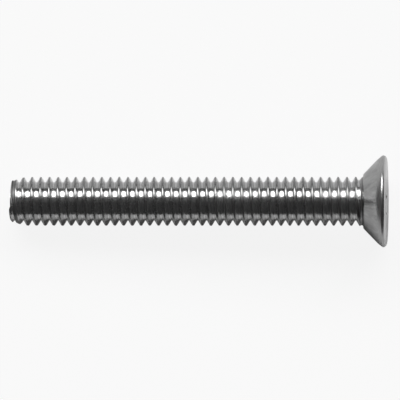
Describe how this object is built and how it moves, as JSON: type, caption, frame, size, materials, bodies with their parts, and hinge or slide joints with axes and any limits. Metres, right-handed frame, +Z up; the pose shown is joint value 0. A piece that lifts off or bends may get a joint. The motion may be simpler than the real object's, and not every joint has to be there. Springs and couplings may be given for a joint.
{
  "type": "countersunk hexagon socket screw",
  "caption": "Countersunk machine screw with a hexagon socket, M4 by 30 mm, threaded up to its cone-shaped head.",
  "frame": {"origin": "centre of the footprint, on the ground that the screw lies on", "axes": "the screw lies along X with its head towards +X, its axis climbing by 3.5 degrees towards the head; +Z is up"},
  "size_m": [0.0302, 0.0072, 0.0073],
  "materials": {
    "bright_steel": "bright cold-forged stainless steel with a smooth rolled thread"
  },
  "bodies": {
    "root": {"countersunk_screw": "bright_steel"}
  },
  "joints": []
}
